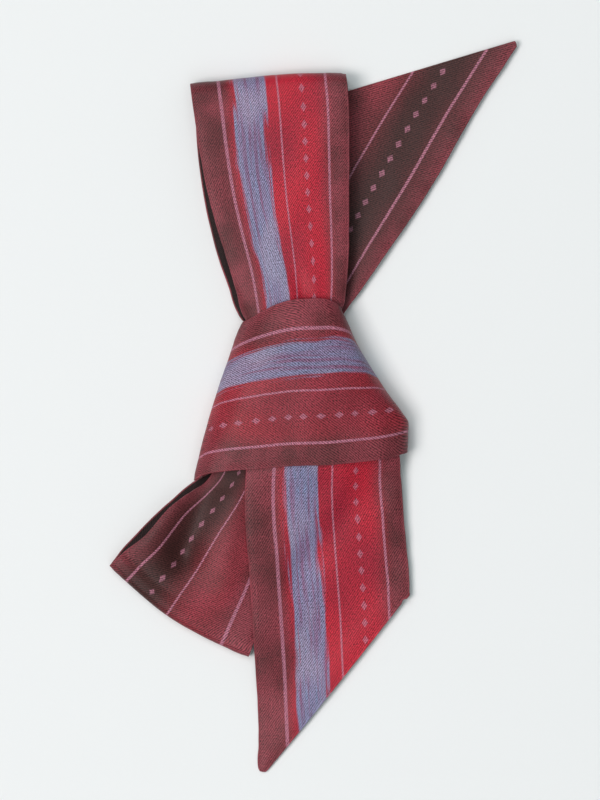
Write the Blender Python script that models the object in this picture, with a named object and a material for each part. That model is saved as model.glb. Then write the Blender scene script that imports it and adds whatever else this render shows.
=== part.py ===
"""A skinny silk scarf, tied in a loose knot with two loops and two slant-cut ends, laid flat.

The scarf is one long strip, so each stretch that shows is made the same way: a short table of
sections, each a line across the strip, and a smooth cloth wall through them. A section's edge a
is on the left, and its edge b on the right, of someone who walks along the strip with its outer
face up. The outer face is the one that shows. Tables are in millimetres. +X is to the right and
+Y to the top of the scarf as it lies, and the floor is at Z = 0.
"""

import math
from typing import NamedTuple

import bmesh
import bpy
import numpy as np

MM = 0.001

# Cloth and layers, in mm
WALL = 1.0  # thickness of the cloth wall
GAP = 0.3  # clearance between layers that lie on each other
TOP_1 = WALL  # top face of a layer on the floor
UNDER_2 = TOP_1 + GAP  # underside of the layer above it
TOP_2 = UNDER_2 + WALL
UNDER_3 = TOP_2 + GAP
UPPER_LOOP = 9.6  # height of the upper loop at its fold
LOWER_LOOP = 5.0  # height of the lower loop's fold at its open corner
LOWER_LOOP_PRESSED = 3.7  # and at the corner that the lower end lies on

# How finely the cloth is divided
COLUMNS = 12  # faces across a stretch
BAND_COLUMNS = 10  # faces across the band of the knot
FOLD_RINGS = 8  # faces round a soft fold

# Hidden layers inside the knot, in mm
CORE_Y = (21.3, 20.3, 18.4, 13.0, 6.0, -1.0, -6.5, -8.4, -9.4)  # one section each
CORE_SIZE = (0.80, 0.93, 1.0, 1.0, 1.0, 1.0, 1.0, 0.93, 0.80)  # rounds the two ends off
CORE_LAYERS = 4  # layers that show along its sides
LAYER_DEPTH = 0.5  # how deep the grooves between them are
CORE_SLACK = 0.3  # its flat faces lie a little inside the band's curves


class Section(NamedTuple):
    """A line across the strip: its two edge points, and how it arches between them."""

    ax: float
    ay: float
    az: float
    bx: float
    by: float
    bz: float
    crown: float = 0.0  # height of the arch, out of the outer face
    peak: float = 0.5  # where the arch is highest, from 0 at a to 1 at b
    curl: float = 0.0  # 0 is a flat arch, 1 a half ellipse whose edges turn down
    bow: float = 0.0  # how far the line bows forward, level with the floor
    rings: int = 2  # faces from this section to the next


class Fold(NamedTuple):
    """A soft half-round fold: its outermost edge points, its heights there, and its bow."""

    ax: float
    ay: float
    bx: float
    by: float
    a_top: float
    a_under: float
    b_top: float
    b_under: float
    bow: float
    peak: float
    curl: float


class Crease(NamedTuple):
    """A soft ridge, or a trough where the heights are negative, along a line seen from above."""

    x1: float
    y1: float
    x2: float
    y2: float
    width: float
    height1: float
    height2: float


class Finish(NamedTuple):
    """A plain material."""

    name: str
    red: float
    green: float
    blue: float
    roughness: float


MAROON = Finish("silk_maroon", 0.165, 0.052, 0.062, 0.42)
CRIMSON = Finish("silk_crimson", 0.470, 0.035, 0.060, 0.42)
DARK_BROWN = Finish("silk_dark_brown", 0.072, 0.036, 0.033, 0.46)

#       ax     ay     az     bx     by     bz   crown peak curl bow rings
TAIL_LOWER = (
    Section(-14.7, -113.9, 1.0, 29.9, -58.7, 1.0, 1.0, bow=-0.5, rings=1),
    Section(-16.9, -113.7, 1.0, 29.9, -57.9, 1.0, 1.0, bow=-0.4, rings=1),
    Section(-17.2, -105.6, 1.0, 29.8, -54.7, 1.0, 0.9, bow=-0.2),
    Section(-17.5, -94.1, 1.3, 29.7, -50.9, 1.0, 0.8),
    Section(-18.2, -82.2, 3.5, 29.3, -45.8, 1.0, 0.6),
    Section(-18.8, -72.0, 6.0, 28.8, -41.0, 1.2, 0.4),
    Section(-19.6, -59.7, 7.4, 28.4, -35.3, 1.6, 0.3),
    Section(-20.3, -49.4, 8.5, 28.1, -30.2, 2.2, 0.4),
    Section(-21.2, -39.7, 9.1, 27.8, -25.2, 3.0, 0.8),
    Section(-21.6, -29.1, 9.6, 27.5, -20.2, 4.2, 1.8),
    Section(-21.3, -20.3, 10.8, 26.6, -15.4, 5.5, 3.2),
    Section(-20.2, -12.2, 10.9, 22.4, -9.8, 7.4, 2.6),
)
TAIL_LOWER_CREASES = (
    Crease(18.0, -25.0, -4.0, -50.0, 5.0, -0.9, -1.1),
    Crease(-4.0, -50.0, -8.5, -70.0, 4.0, -0.7, -0.1),
)
UPPER_FRONT = (
    Section(-18.8, 22.2, 4.9, 6.6, 22.8, 5.6, 4.1, 0.5, 1.0),
    Section(-19.6, 26.2, 4.9, 7.5, 27.2, 5.6, 3.8, 0.5, 0.8),
    Section(-22.4, 29.2, 5.4, 9.1, 30.6, 6.1, 3.2, 0.5, 0.6),
    Section(-24.0, 34.0, 6.8, 10.0, 35.3, 7.2, 2.6, 0.5, 0.4),
    Section(-26.3, 41.8, 7.8, 10.6, 43.0, 8.0, 1.6, 0.5, 0.2),
    Section(-29.1, 51.9, 8.5, 10.9, 52.8, 8.5, 1.0, 0.5, 0.1),
    Section(-32.6, 64.4, 9.1, 10.9, 65.9, 9.1, 0.5),
    Section(-35.6, 79.4, 9.4, 11.0, 81.2, 9.4, 0.3, bow=0.3),
    Section(-37.6, 93.0, 9.6, 10.7, 96.0, 9.6, 0.1, bow=0.8),
)
UPPER_BACK = (
    Section(-37.3, 92.6, 0.1, 9.4, 95.2, UNDER_2, -1.0, bow=0.8),
    Section(-36.4, 80.3, 0.3, 9.4, 81.9, UNDER_2, -0.9, bow=0.3),
    Section(-34.5, 67.8, 0.8, 9.1, 67.8, UNDER_2, -0.8),
    Section(-31.9, 55.9, 1.2, 8.8, 55.3, 1.4, -0.6),
    Section(-29.1, 45.3, 1.4, 8.4, 44.4, 1.9, -0.4),
    Section(-26.2, 36.6, 1.9, 7.8, 35.9, 2.7, -0.3),
    Section(-23.8, 29.8, 2.4, 7.2, 30.6, 3.2, -0.1),
    Section(-21.6, 27.7, 2.5, 6.8, 28.4, 3.4),
    Section(-19.2, 26.2, UNDER_3, 6.2, 26.6, 3.5),
    Section(-18.8, 21.9, UNDER_3, 5.3, 22.2, 3.5),
)
UPPER_CREASES = (Crease(-5.3, 35.5, -6.5, 48.0, 2.6, -0.9, -0.2),)

#                   ax     ay     bx     by    a_top, a_under, b_top, b_under, bow peak curl
UPPER_FOLD = Fold(-38.7, 100.8, 10.0, 104.3, UPPER_LOOP, 0.0, UPPER_LOOP, UNDER_2, 1.0, 0.62, 0.0)
LOWER_FOLD = Fold(-20.2, -77.3, -63.4, -49.5, LOWER_LOOP_PRESSED, 0.0, LOWER_LOOP, 0.0, 3.5, 0.50, 0.0)

#       ax     ay     az     bx     by     bz   crown peak curl bow rings
BAND = (
    Section(-22.4, 27.2, 4.6, -37.7, -22.8, 5.4, 1.0),
    Section(-20.3, 28.9, 7.8, -34.7, -21.1, 9.4, 1.6),
    Section(-16.9, 30.6, 9.8, -29.1, -20.1, 11.9, 2.2),
    Section(-12.2, 32.6, 10.9, -19.4, -19.4, 13.0, 2.6),
    Section(-6.9, 33.6, 11.3, -7.5, -18.4, 13.4, 2.6),
    Section(-0.6, 33.8, 11.3, 5.0, -18.0, 13.2, 2.5),
    Section(4.4, 33.5, 10.7, 16.2, -16.9, 12.2, 2.4),
    Section(7.8, 31.6, 8.8, 24.4, -15.6, 10.2, 2.6, 0.66),
    Section(9.7, 28.1, 5.0, 28.8, -14.1, 5.6, 3.7, 0.81),
    Section(8.9, 26.8, 1.6, 27.6, -15.2, 1.6, 3.2, 0.81),
    Section(5.6, 26.0, 0.0, 23.6, -16.2, 0.0),
    Section(-4.4, 25.4, 0.0, 2.0, -17.2, 0.0),
    Section(-18.2, 25.7, 0.0, -32.0, -19.4, 0.0),
    Section(-21.6, 26.5, 1.5, -36.0, -21.6, 1.6, 0.8),
)
LOWER_FRONT = (
    Section(-4.4, -10.4, 7.2, -29.0, -13.4, 6.4, 0.5),
    Section(-2.4, -19.1, 7.0, -32.0, -20.3, 6.6, 0.9),
    Section(-4.6, -31.2, 6.3, -37.5, -25.0, 7.8, 1.0),
    Section(-9.4, -45.9, 5.45, -45.0, -31.2, 8.8, 0.6, bow=1.0),
    Section(-14.1, -60.0, 4.6, -53.4, -40.6, 8.4, 0.6, bow=2.2),
    Section(-17.4, -69.6, 4.0, -58.8, -45.4, 6.9, 0.6, bow=3.1),
)
LOWER_BACK = (
    Section(-17.8, -69.0, 0.0, -60.0, -44.4, 0.0, bow=3.1),
    Section(-15.0, -60.3, 0.0, -57.4, -41.6, 0.0, bow=2.2),
    Section(-10.6, -46.2, 0.0, -51.2, -35.2, 0.0, bow=1.0),
    Section(-6.9, -32.2, 0.2, -44.4, -28.6, 0.2),
    Section(-5.4, -23.8, 0.9, -37.9, -24.0, 0.8),
    Section(-4.6, -18.4, UNDER_2, -30.0, -18.4, 1.5),
    Section(-5.0, -10.3, UNDER_2, -28.2, -13.2, 1.4),
)
LOWER_CREASES = (
    Crease(-34.7, -23.8, -44.1, -49.0, 5.5, -2.0, -1.8),
    Crease(-27.0, -30.0, -34.0, -56.0, 5.0, 0.6, 0.8),
)
TAIL_UPPER = (
    Section(-17.2, 21.7, TOP_2, 4.6, 22.0, 3.0),
    Section(-18.0, 26.2, TOP_2, 6.0, 26.4, 3.1),
    Section(-23.4, 31.4, 1.7, 11.0, 30.2, 3.0),
    Section(-26.4, 38.4, TOP_1, 15.0, 36.9, 2.2),
    Section(-28.4, 49.1, TOP_1, 23.3, 49.1, 1.3),
    Section(-27.6, 60.3, TOP_1, 31.6, 61.6, TOP_1),
    Section(-23.1, 70.9, TOP_1, 39.4, 74.1, TOP_1),
    Section(-17.5, 80.0, TOP_1, 46.7, 86.6, TOP_1),
    Section(-12.7, 87.8, TOP_1, 54.2, 99.2, TOP_1, rings=1),
    Section(-11.2, 90.2, TOP_1, 58.3, 105.2, TOP_1, rings=1),
    Section(-9.6, 92.8, TOP_1, 63.1, 112.4, TOP_1, rings=1),
    Section(-9.1, 93.6, TOP_1, 62.6, 114.1, TOP_1),
)


def unit(vectors):
    """The vectors, each 1 long."""
    return vectors / np.linalg.norm(vectors, axis=-1, keepdims=True)


def fold_sections(fold, before, after):
    """Sections round a soft fold that leads from the section before it to the one after it."""
    a_edge, b_edge = np.array((fold.ax, fold.ay)), np.array((fold.bx, fold.by))
    heights = ((a_edge, fold.a_top, fold.a_under), (b_edge, fold.b_top, fold.b_under))
    sections = []
    for angle in np.linspace(math.pi / 2, -math.pi / 2, FOLD_RINGS + 1):
        near = before if angle > 0 else after
        ends = []
        for (edge, top, under), neighbour in zip(heights, (near[0:2], near[3:5])):
            radius = (top - under) / 2
            inward = unit(np.array(neighbour) - edge)
            place = edge + inward * radius * (1 - math.cos(angle))
            ends += [place[0], place[1], under + radius * (1 + math.sin(angle))]
        sections.append(Section(*ends, 0.0, fold.peak, fold.curl, fold.bow, rings=1))
    return tuple(sections)


def smooth_rows(sections, closed):
    """Rows of section values on a smooth curve through the sections."""
    table = np.array([section[:-1] for section in sections])
    if closed:
        table = np.vstack([table[-1:], table, table[:2]])
    else:
        table = np.vstack([2 * table[0] - table[1], table, 2 * table[-1] - table[-2]])
    middles = (table[:, 0:3] + table[:, 3:6]) / 2
    spans = np.linalg.norm(np.diff(middles, axis=0), axis=1)[:, None]
    slopes = np.diff(table, axis=0) / spans
    tangents = (slopes[:-1] * spans[1:] + slopes[1:] * spans[:-1]) / (spans[:-1] + spans[1:])
    rows = []
    for k in range(len(sections) - (0 if closed else 1)):
        start, end, span = table[k + 1], table[k + 2], spans[k + 1]
        for step in range(sections[k].rings):
            t = step / sections[k].rings
            rows.append(
                start * (2 * t**3 - 3 * t**2 + 1)
                + tangents[k] * span * (t**3 - 2 * t**2 + t)
                + end * (3 * t**2 - 2 * t**3)
                + tangents[k + 1] * span * (t**3 - t**2)
            )
    if not closed:
        rows.append(table[-2])
    return np.array(rows)


def slope_along(points, closed):
    """The direction of the strip at each point, from ring to ring."""
    if closed:
        return np.roll(points, -1, axis=0) - np.roll(points, 1, axis=0)
    return np.gradient(points, axis=0)


def face_normals(points, closed):
    """The direction out of the outer face at each of its points."""
    return unit(np.cross(np.gradient(points, axis=1), slope_along(points, closed)))


def crease_heights(points, normals, creases):
    """How far the creases move each point of the layer that faces up."""
    heights = np.zeros(points.shape[:2])
    for crease in creases:
        start = np.array((crease.x1, crease.y1))
        run = np.array((crease.x2, crease.y2)) - start
        along = np.clip((points[..., :2] - start) @ run / (run @ run), 0, 1)
        distance = np.linalg.norm(points[..., :2] - start - along[..., None] * run, axis=-1)
        height = crease.height1 + (crease.height2 - crease.height1) * along
        heights += height * np.exp(-((distance / crease.width) ** 2))
    return heights * np.clip(normals[..., 2], 0, 1)


def strip_face(sections, columns=COLUMNS, creases=(), closed=False):
    """The outer face of a stretch, as points[ring][column]."""
    rows = smooth_rows(sections, closed)
    edge_a, edge_b = rows[:, None, 0:3], rows[:, None, 3:6]
    crown, peak, curl, bow = (rows[:, k, None] for k in (6, 7, 8, 9))
    across = np.linspace(0, 1, columns + 1)[None, :]
    bent = (1 - np.cos(np.pi * across)) / 2
    spread = across + (bent - across) * curl
    swell = np.sin(np.pi * across ** (np.log(0.5) / np.log(peak)))
    chord = edge_b - edge_a
    outward = unit(np.cross(chord, slope_along((edge_a + edge_b) / 2, closed)))
    forward = unit(np.stack([-chord[..., 1], chord[..., 0], np.zeros(chord.shape[:2])], axis=-1))
    points = edge_a + chord * spread[..., None]
    points = points + outward * (crown * swell)[..., None] + forward * (bow * swell)[..., None]
    normals = face_normals(points, closed)
    points = points + normals * crease_heights(points, normals, creases)[..., None]
    points[..., 2] = np.maximum(points[..., 2], 0)
    return points


def inner_face(points, closed, depth):
    """The face that lies depth below the outer face, and never below the floor."""
    inner = points - face_normals(points, closed) * depth
    inner[..., 2] = np.maximum(inner[..., 2], 0)
    return inner


def material_for(finish):
    """A Principled material in the colour of the finish."""
    material = bpy.data.materials.get(finish.name) or bpy.data.materials.new(finish.name)
    material.use_nodes = True
    shader = material.node_tree.nodes["Principled BSDF"]
    shader.inputs["Base Color"].default_value = (finish.red, finish.green, finish.blue, 1)
    shader.inputs["Roughness"].default_value = finish.roughness
    shader.inputs["Metallic"].default_value = 0.0
    return material


def add_solid(name, points, faces, finish):
    """A closed solid with these corner points, in mm, and faces, shaded smooth."""
    mesh = bpy.data.meshes.new(name)
    mesh.from_pydata((np.asarray(points) * MM).tolist(), [], faces)
    shape = bmesh.new()
    shape.from_mesh(mesh)
    bmesh.ops.recalc_face_normals(shape, faces=shape.faces)
    shape.to_mesh(mesh)
    shape.free()
    mesh.shade_smooth()
    mesh.set_sharp_from_angle(angle=math.radians(50))
    mesh.materials.append(material_for(finish))
    solid = bpy.data.objects.new(name, mesh)
    bpy.context.scene.collection.objects.link(solid)
    return solid


def add_stretch(name, outer, finish, closed=False):
    """A cloth wall whose outer face is outer."""
    rings, columns = outer.shape[:2]
    inner = inner_face(outer, closed, WALL)
    under = rings * columns  # index of the inner face's first point

    def corner(ring, column, face):
        return face + (ring % rings) * columns + column

    faces = []
    for i in range(rings if closed else rings - 1):
        for j in range(columns - 1):
            quad = ((i, j), (i, j + 1), (i + 1, j + 1), (i + 1, j))
            faces.append([corner(*place, 0) for place in quad])
            faces.append([corner(*place, under) for place in reversed(quad)])
        for j in (0, columns - 1):
            faces.append([corner(i, j, 0), corner(i + 1, j, 0), corner(i + 1, j, under), corner(i, j, under)])
    if not closed:
        for i in (0, rings - 1):
            for j in range(columns - 1):
                end_wall = ((i, j, 0), (i, j + 1, 0), (i, j + 1, under), (i, j, under))
                faces.append([corner(*place) for place in end_wall])
    points = np.vstack([outer.reshape(-1, 3), inner.reshape(-1, 3)])
    return add_solid(name, points, faces, finish)


def add_core(name, band, finish):
    """The hidden layers inside the knot: one rounded solid, just clear of the band's inner face."""
    inside = inner_face(band, True, WALL + GAP + CORE_SLACK)
    count = len(inside)
    rings = []
    for y, size in zip(CORE_Y, CORE_SIZE):
        # The band's lines run from the top rim down, and interp reads rising values.
        ring = np.array([[np.interp(y, line[::-1, 1], line[::-1, k]) for k in (0, 2)] for line in inside])
        low, high = ring.min(axis=0), ring.max(axis=0)
        centre = (low + high) / 2
        level = (ring[:, 1] - low[1]) / (high[1] - low[1])
        side = np.abs(ring[:, 0] - centre[0]) / (high[0] - low[0]) * 2
        groove = LAYER_DEPTH * np.cos(np.pi * CORE_LAYERS * level) ** 2 * side**4
        ring[:, 0] -= np.sign(ring[:, 0] - centre[0]) * groove
        ring[:, 0] = centre[0] + (ring[:, 0] - centre[0]) * size
        ring[:, 1] = low[1] + (ring[:, 1] - low[1]) * size
        rings.append(np.column_stack([ring[:, 0], np.full(count, y), ring[:, 1]]))
    faces = [list(range(count)), list(range((len(rings) - 1) * count, len(rings) * count))]
    for i in range(len(rings) - 1):
        for k in range(count):
            after = (k + 1) % count
            faces.append([i * count + k, i * count + after, (i + 1) * count + after, (i + 1) * count + k])
    return add_solid(name, np.vstack(rings), faces, finish)


def main():
    """Clears the scene and makes the scarf, stretch by stretch."""
    for old in list(bpy.data.objects):
        bpy.data.objects.remove(old)
    add_stretch("tail_lower", strip_face(TAIL_LOWER, creases=TAIL_LOWER_CREASES), CRIMSON)
    upper = UPPER_FRONT + fold_sections(UPPER_FOLD, UPPER_FRONT[-1], UPPER_BACK[0]) + UPPER_BACK
    add_stretch("loop_upper", strip_face(upper, creases=UPPER_CREASES), CRIMSON)
    band = strip_face(BAND, columns=BAND_COLUMNS, closed=True)
    add_stretch("knot_band", band, MAROON, closed=True)
    add_core("knot_core", band, MAROON)
    lower = LOWER_FRONT + fold_sections(LOWER_FOLD, LOWER_FRONT[-1], LOWER_BACK[0]) + LOWER_BACK
    add_stretch("loop_lower", strip_face(lower, creases=LOWER_CREASES), MAROON)
    add_stretch("tail_upper", strip_face(TAIL_UPPER), DARK_BROWN)


main()
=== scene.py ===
"""A skinny silk scarf, tied in a loose knot and laid flat: its cloth, turned edges and studio.

The scarf is one long strip of printed silk twill, sewn into a flat tube with plain turned edges
and slant-cut ends. Each stretch that shows is a thin shell on a smooth face through a table of
sections. A section's edge a is on the left, and its edge b on the right, of someone who walks
along the strip with its outer face up. Tables are in millimetres, +X is to the right, +Y to the
top of the scarf as it lies, and the floor is at Z = 0.

Every point of the cloth knows its place on the flat strip: u across it, from -25 to 25 mm, and v
along it, from the tip of the lower end. The print and the twill follow those.
"""

import logging
import math
from dataclasses import dataclass
from enum import Enum
from typing import ClassVar, NamedTuple

import bpy
import numpy as np
from bpy.types import ID, Material, Mesh, Node, NodeSocket as Socket, NodeTree, Object
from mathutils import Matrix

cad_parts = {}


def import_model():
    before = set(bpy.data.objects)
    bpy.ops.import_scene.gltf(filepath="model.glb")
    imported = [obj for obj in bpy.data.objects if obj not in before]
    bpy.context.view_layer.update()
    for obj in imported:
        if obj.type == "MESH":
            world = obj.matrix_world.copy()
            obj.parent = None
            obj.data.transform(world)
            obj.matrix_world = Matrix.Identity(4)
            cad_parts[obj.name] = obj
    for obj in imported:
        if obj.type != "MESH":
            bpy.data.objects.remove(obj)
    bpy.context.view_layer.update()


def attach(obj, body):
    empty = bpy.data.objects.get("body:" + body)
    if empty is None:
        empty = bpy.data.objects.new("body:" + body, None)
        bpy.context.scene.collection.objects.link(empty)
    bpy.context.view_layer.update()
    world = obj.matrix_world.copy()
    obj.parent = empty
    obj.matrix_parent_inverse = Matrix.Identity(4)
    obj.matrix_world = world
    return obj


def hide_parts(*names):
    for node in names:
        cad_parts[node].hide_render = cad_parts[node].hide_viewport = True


Colour = tuple[float, float, float, float]
Point = tuple[float, float, float]
Array = np.ndarray
Inputs = dict[str | int, object]  # sockets and values for a node's inputs, by name or number
Span = tuple[float, float]  # where a soft step is 0, and where it is 1

LOG = logging.getLogger("scarf")
MM = 0.001

# Cloth, in mm
STRIP_WIDTH = 50.0
SHELL = 0.9  # the two layers of silk and the air between them
EDGE_DROP = 0.2  # how much each layer closes in at the strip's edges
EDGE_REACH = 1.3  # how far from the edge that starts
SEAM_RISE = 0.07  # the seam allowance inside, which shows as a faint step
SEAM_DEPTH = 6.0  # how far it reaches in from the edge
SEAM_SOFTNESS = 0.25  # how far the step is spread
ROLL_RADIUS = 0.33  # the turned edge of the tube
RIM_REACH = 2.2  # how far in from the edge its waves die away
FLOOR_GAP = 0.02  # between the floor and the lowest points of the cloth
CUT_REACH = 9.0  # how far from a slanting cut the print follows the floor
BUMP_DEPTH = 0.08  # of the weave, which is too fine for the mesh

# Meshes
ROW_STEP = 0.9  # mm from one row of points to the next
COLUMNS = 72  # faces across the strip
EDGE_CROWDING = 0.6  # how much closer the columns are at the edges
FOLD_RINGS = 12  # steps round a soft fold
SHARP_DEGREES = 55.0  # a turn between two faces that is shaded as an edge

# An arch with a corner
CORNER = 20.0  # how sharp the corner is
CORNER_RISE = 2.0  # how hollow the side before it is
CORNER_FALL = 1.1  # and the side after it

# Layers, in mm
TOP_1 = 1.0  # top face of a layer on the floor
UNDER_2 = 1.3  # underside of the layer above it
TOP_2 = 2.3
UNDER_3 = 2.6


class Side(Enum):
    """The side of a stretch that a crease lies on."""

    UP = 1
    DOWN = -1


class Held(Enum):
    """How a stretch of cloth is held."""

    FOLDED = "folded"
    LAID = "laid"


class Section(NamedTuple):
    """A line across the strip: its two edge points, and how it arches between them."""

    ax: float
    ay: float
    az: float
    bx: float
    by: float
    bz: float
    crown: float = 0.0  # height of the arch, out of the outer face
    peak: float = 0.5  # where the arch is highest, from 0 at a to 1 at b
    curl: float = 0.0  # 0 is a flat arch, 1 a half ellipse whose edges turn down
    bow: float = 0.0  # how far the line bows forward, level with the floor
    corner: float = 0.0  # 0 is a round arch, 1 a straight-sided one with a corner at its peak


class Fold(NamedTuple):
    """A soft half-round fold: its outermost edge points, its heights there, and its arch."""

    ax: float
    ay: float
    bx: float
    by: float
    a_top: float
    a_under: float
    b_top: float
    b_under: float
    bow: float
    peak: float = 0.5


class Crease(NamedTuple):
    """A soft ridge, or a trough where the heights are negative, along a line seen from above."""

    x1: float
    y1: float
    x2: float
    y2: float
    width: float
    height1: float
    height2: float
    side: Side = Side.UP

    def heights(self, spots: Array) -> Array:
        """How high it is at each spot seen from above.

        Args:
            spots: (x, y) of each point, [row][column].

        Returns:
            The heights, in mm.
        """
        start = np.array((self.x1, self.y1))
        run = np.array((self.x2, self.y2)) - start
        along = np.clip((spots - start) @ run / (run @ run), 0, 1)
        distance = np.linalg.norm(spots - start - along[..., None] * run, axis=-1)
        height = self.height1 + (self.height2 - self.height1) * along
        return height * np.exp(-((distance / self.width) ** 2))


class Wave(NamedTuple):
    """One of the slow waves that keep the cloth from lying dead flat."""

    height: float
    across: float  # its length across the strip
    along: float  # and along it
    phase: float


class Cloth(NamedTuple):
    """Points of a face, in mm, and their places (u, v) on the flat strip, both [row][column]."""

    points: Array
    places: Array


class Inks(NamedTuple):
    """How much of each colour shows in a stretch: the print, and a dark brown that in places is
    painted shade.
    """

    red: float = 1.0  # the crimson stripes
    slate: float = 1.0  # the slate stripe
    dark: float = 0.0  # how far the ground goes from maroon to dark brown; along the lower loop's trough this is painted shade as well as print
    dark_middle: float = 0.0  # u, in mm, where the dark brown, print and painted shade, is deepest


class Mottle(NamedTuple):
    """Noise on the flat strip."""

    scale: float  # cells to the mm
    detail: float = 2.0
    across: float = 1.0  # how much finer it is across the strip
    along: float = 1.0  # and along it


class Softbox(NamedTuple):
    """A square area light that faces the scarf."""

    name: str
    place: Point  # in mm
    size: float  # its side, in mm
    power: float  # in W
    colour: Point = (0.95, 0.99, 1.0)


# Sections: ax, ay, az, bx, by, bz, crown, peak, curl, bow, corner
# Creases: x1, y1, x2, y2, width, height1, height2, side
LOWER_END = (
    Section(-15.5, -114.1, 1.2, 29.3, -58.3, 2.9, 0.7, 0.4, bow=-0.3),
    Section(-17.2, -113.8, 1.2, 29.7, -57.8, 2.9, 0.7, 0.4, bow=-0.3),
    Section(-17.4, -113.1, 1.2, 29.7, -57.3, 2.9, 0.7, 0.4, bow=-0.3),
    Section(-17.3, -105.6, 1.2, 29.7, -54.7, 2.9, 0.7, bow=-0.2),
    Section(-17.5, -94.1, 1.4, 29.5, -50.9, 3.0, 0.6),
    Section(-18.2, -82.2, 3.5, 29.1, -45.8, 3.1, 0.4),
    Section(-18.8, -72.0, 6.0, 28.6, -41.0, 3.3, 0.3),
    Section(-19.6, -59.7, 7.4, 28.1, -35.3, 3.5, 0.3),
    Section(-20.3, -49.4, 8.5, 27.8, -30.2, 3.7, 0.4),
    Section(-21.2, -39.7, 9.1, 27.4, -25.2, 4.0, 0.8),
    Section(-21.6, -29.1, 9.6, 27.1, -20.2, 4.6, 1.8),
    Section(-21.3, -20.3, 10.8, 26.8, -15.6, 5.3, 3.2),
    Section(-20.2, -12.2, 10.9, 26.0, -11.0, 6.6, 2.6),
)
LOWER_END_CREASES = (
    Crease(18.0, -25.0, -4.0, -50.0, 5.0, -0.9, -1.1),
    Crease(-4.0, -50.0, -8.5, -70.0, 4.0, -0.7, -0.1),
    Crease(9.0, -21.0, 4.0, -34.0, 3.6, 0.7, 0.2),
    Crease(-12.0, -24.0, -13.5, -44.0, 3.0, -0.35, -0.1),
    Crease(24.0, -30.0, 20.0, -52.0, 3.2, 0.3, 0.1),
    Crease(-14.0, -80.0, -8.0, -100.0, 3.0, 0.3, 0.1),
)
UPPER_FRONT = (
    Section(-19.4, 21.4, 4.9, 6.6, 22.8, 5.6, 4.1, 0.5, 1.0),
    Section(-20.7, 25.0, 4.9, 7.5, 27.2, 5.6, 3.8, 0.5, 0.8),
    Section(-22.5, 28.4, 5.4, 9.1, 30.6, 6.1, 3.2, 0.5, 0.6),
    Section(-24.0, 34.0, 6.8, 10.0, 35.3, 7.2, 2.6, 0.5, 0.4),
    Section(-26.0, 41.8, 7.8, 10.6, 43.0, 8.0, 1.6, 0.5, 0.2),
    Section(-29.1, 51.9, 8.5, 10.9, 52.8, 8.5, 1.0, 0.5, 0.1),
    Section(-32.6, 64.4, 9.1, 10.9, 65.9, 9.1, 0.5),
    Section(-35.6, 79.4, 9.4, 11.0, 81.2, 9.4, 0.3, bow=0.3),
    Section(-37.6, 93.0, 9.6, 10.7, 96.0, 9.6, 0.1, bow=0.8),
)
UPPER_BACK = (
    Section(-37.3, 92.6, 0.1, 9.4, 95.2, UNDER_2, -1.0, bow=0.8),
    Section(-36.4, 80.3, 0.3, 9.4, 81.9, UNDER_2, -0.9, bow=0.3),
    Section(-34.8, 67.8, 0.8, 9.1, 67.8, UNDER_2, -0.8),
    Section(-32.4, 55.9, 1.2, 8.8, 55.3, 1.4, -0.6),
    Section(-29.5, 45.3, 1.4, 8.4, 44.4, 1.9, -0.4),
    Section(-26.4, 36.6, 1.9, 7.8, 35.9, 2.7, -0.3),
    Section(-24.1, 29.8, 2.4, 7.2, 30.6, 3.2, -0.1),
    Section(-22.4, 27.3, 2.5, 6.8, 28.4, 3.4),
    Section(-19.2, 26.2, UNDER_3, 6.2, 26.6, 3.5),
    Section(-18.8, 21.9, UNDER_3, 5.3, 22.2, 3.5),
)
UPPER_CREASES = (
    Crease(-3.2, 33.5, -6.0, 44.0, 2.4, -1.5, -0.15),
    Crease(-14.0, 32.0, -18.5, 52.0, 3.0, -0.4, -0.1),
    Crease(3.0, 33.0, 4.5, 50.0, 2.6, -0.35, -0.1),
    Crease(-22.0, 60.0, -26.0, 82.0, 4.0, -0.3, -0.1),
    Crease(-8.0, 58.0, 2.0, 84.0, 5.0, 0.25, 0.1),
    Crease(-8.0, 30.0, -9.0, 52.0, 3.0, -0.5, -0.1, Side.DOWN),
)

# Folds: ax, ay, bx, by, a_top, a_under, b_top, b_under, bow, peak
UPPER_FOLD = Fold(-38.7, 100.8, 10.0, 103.9, 9.6, 0.0, 9.6, UNDER_2, 1.0, 0.62)
LOWER_FOLD = Fold(-20.5, -78.2, -64.0, -49.6, 3.7, 0.0, 5.0, 0.0, 3.0)

BAND = (
    Section(-4.4, 25.4, 0.0, 2.0, -16.8, 0.0),
    Section(-18.2, 25.7, 0.0, -32.0, -19.4, 0.0),
    Section(-21.8, 26.0, 1.5, -36.0, -21.6, 1.6, 0.8),
    Section(-22.7, 26.2, 4.6, -37.7, -22.8, 5.4, 1.0),
    Section(-20.2, 27.8, 7.8, -34.7, -21.1, 9.4, 1.6),
    Section(-16.6, 29.7, 9.8, -29.1, -20.1, 11.9, 2.2),
    Section(-12.0, 31.9, 10.9, -19.4, -19.4, 13.0, 2.6),
    Section(-6.9, 33.4, 11.3, -7.5, -18.4, 13.4, 2.6),
    Section(-0.6, 33.8, 11.3, 5.0, -18.0, 13.2, 2.5),
    Section(4.4, 33.5, 10.7, 16.2, -16.9, 12.2, 2.4),
    Section(7.8, 31.6, 8.8, 24.4, -15.6, 10.2, 2.6, 0.66),
    Section(9.2, 28.1, 5.0, 29.2, -14.1, 5.6, 4.4, 0.81, corner=1.0),
    Section(8.4, 26.8, 1.6, 28.3, -14.6, 1.6, 3.9, 0.81, corner=1.0),
    Section(5.6, 26.0, 0.0, 23.9, -15.4, 0.0),
)
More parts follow.
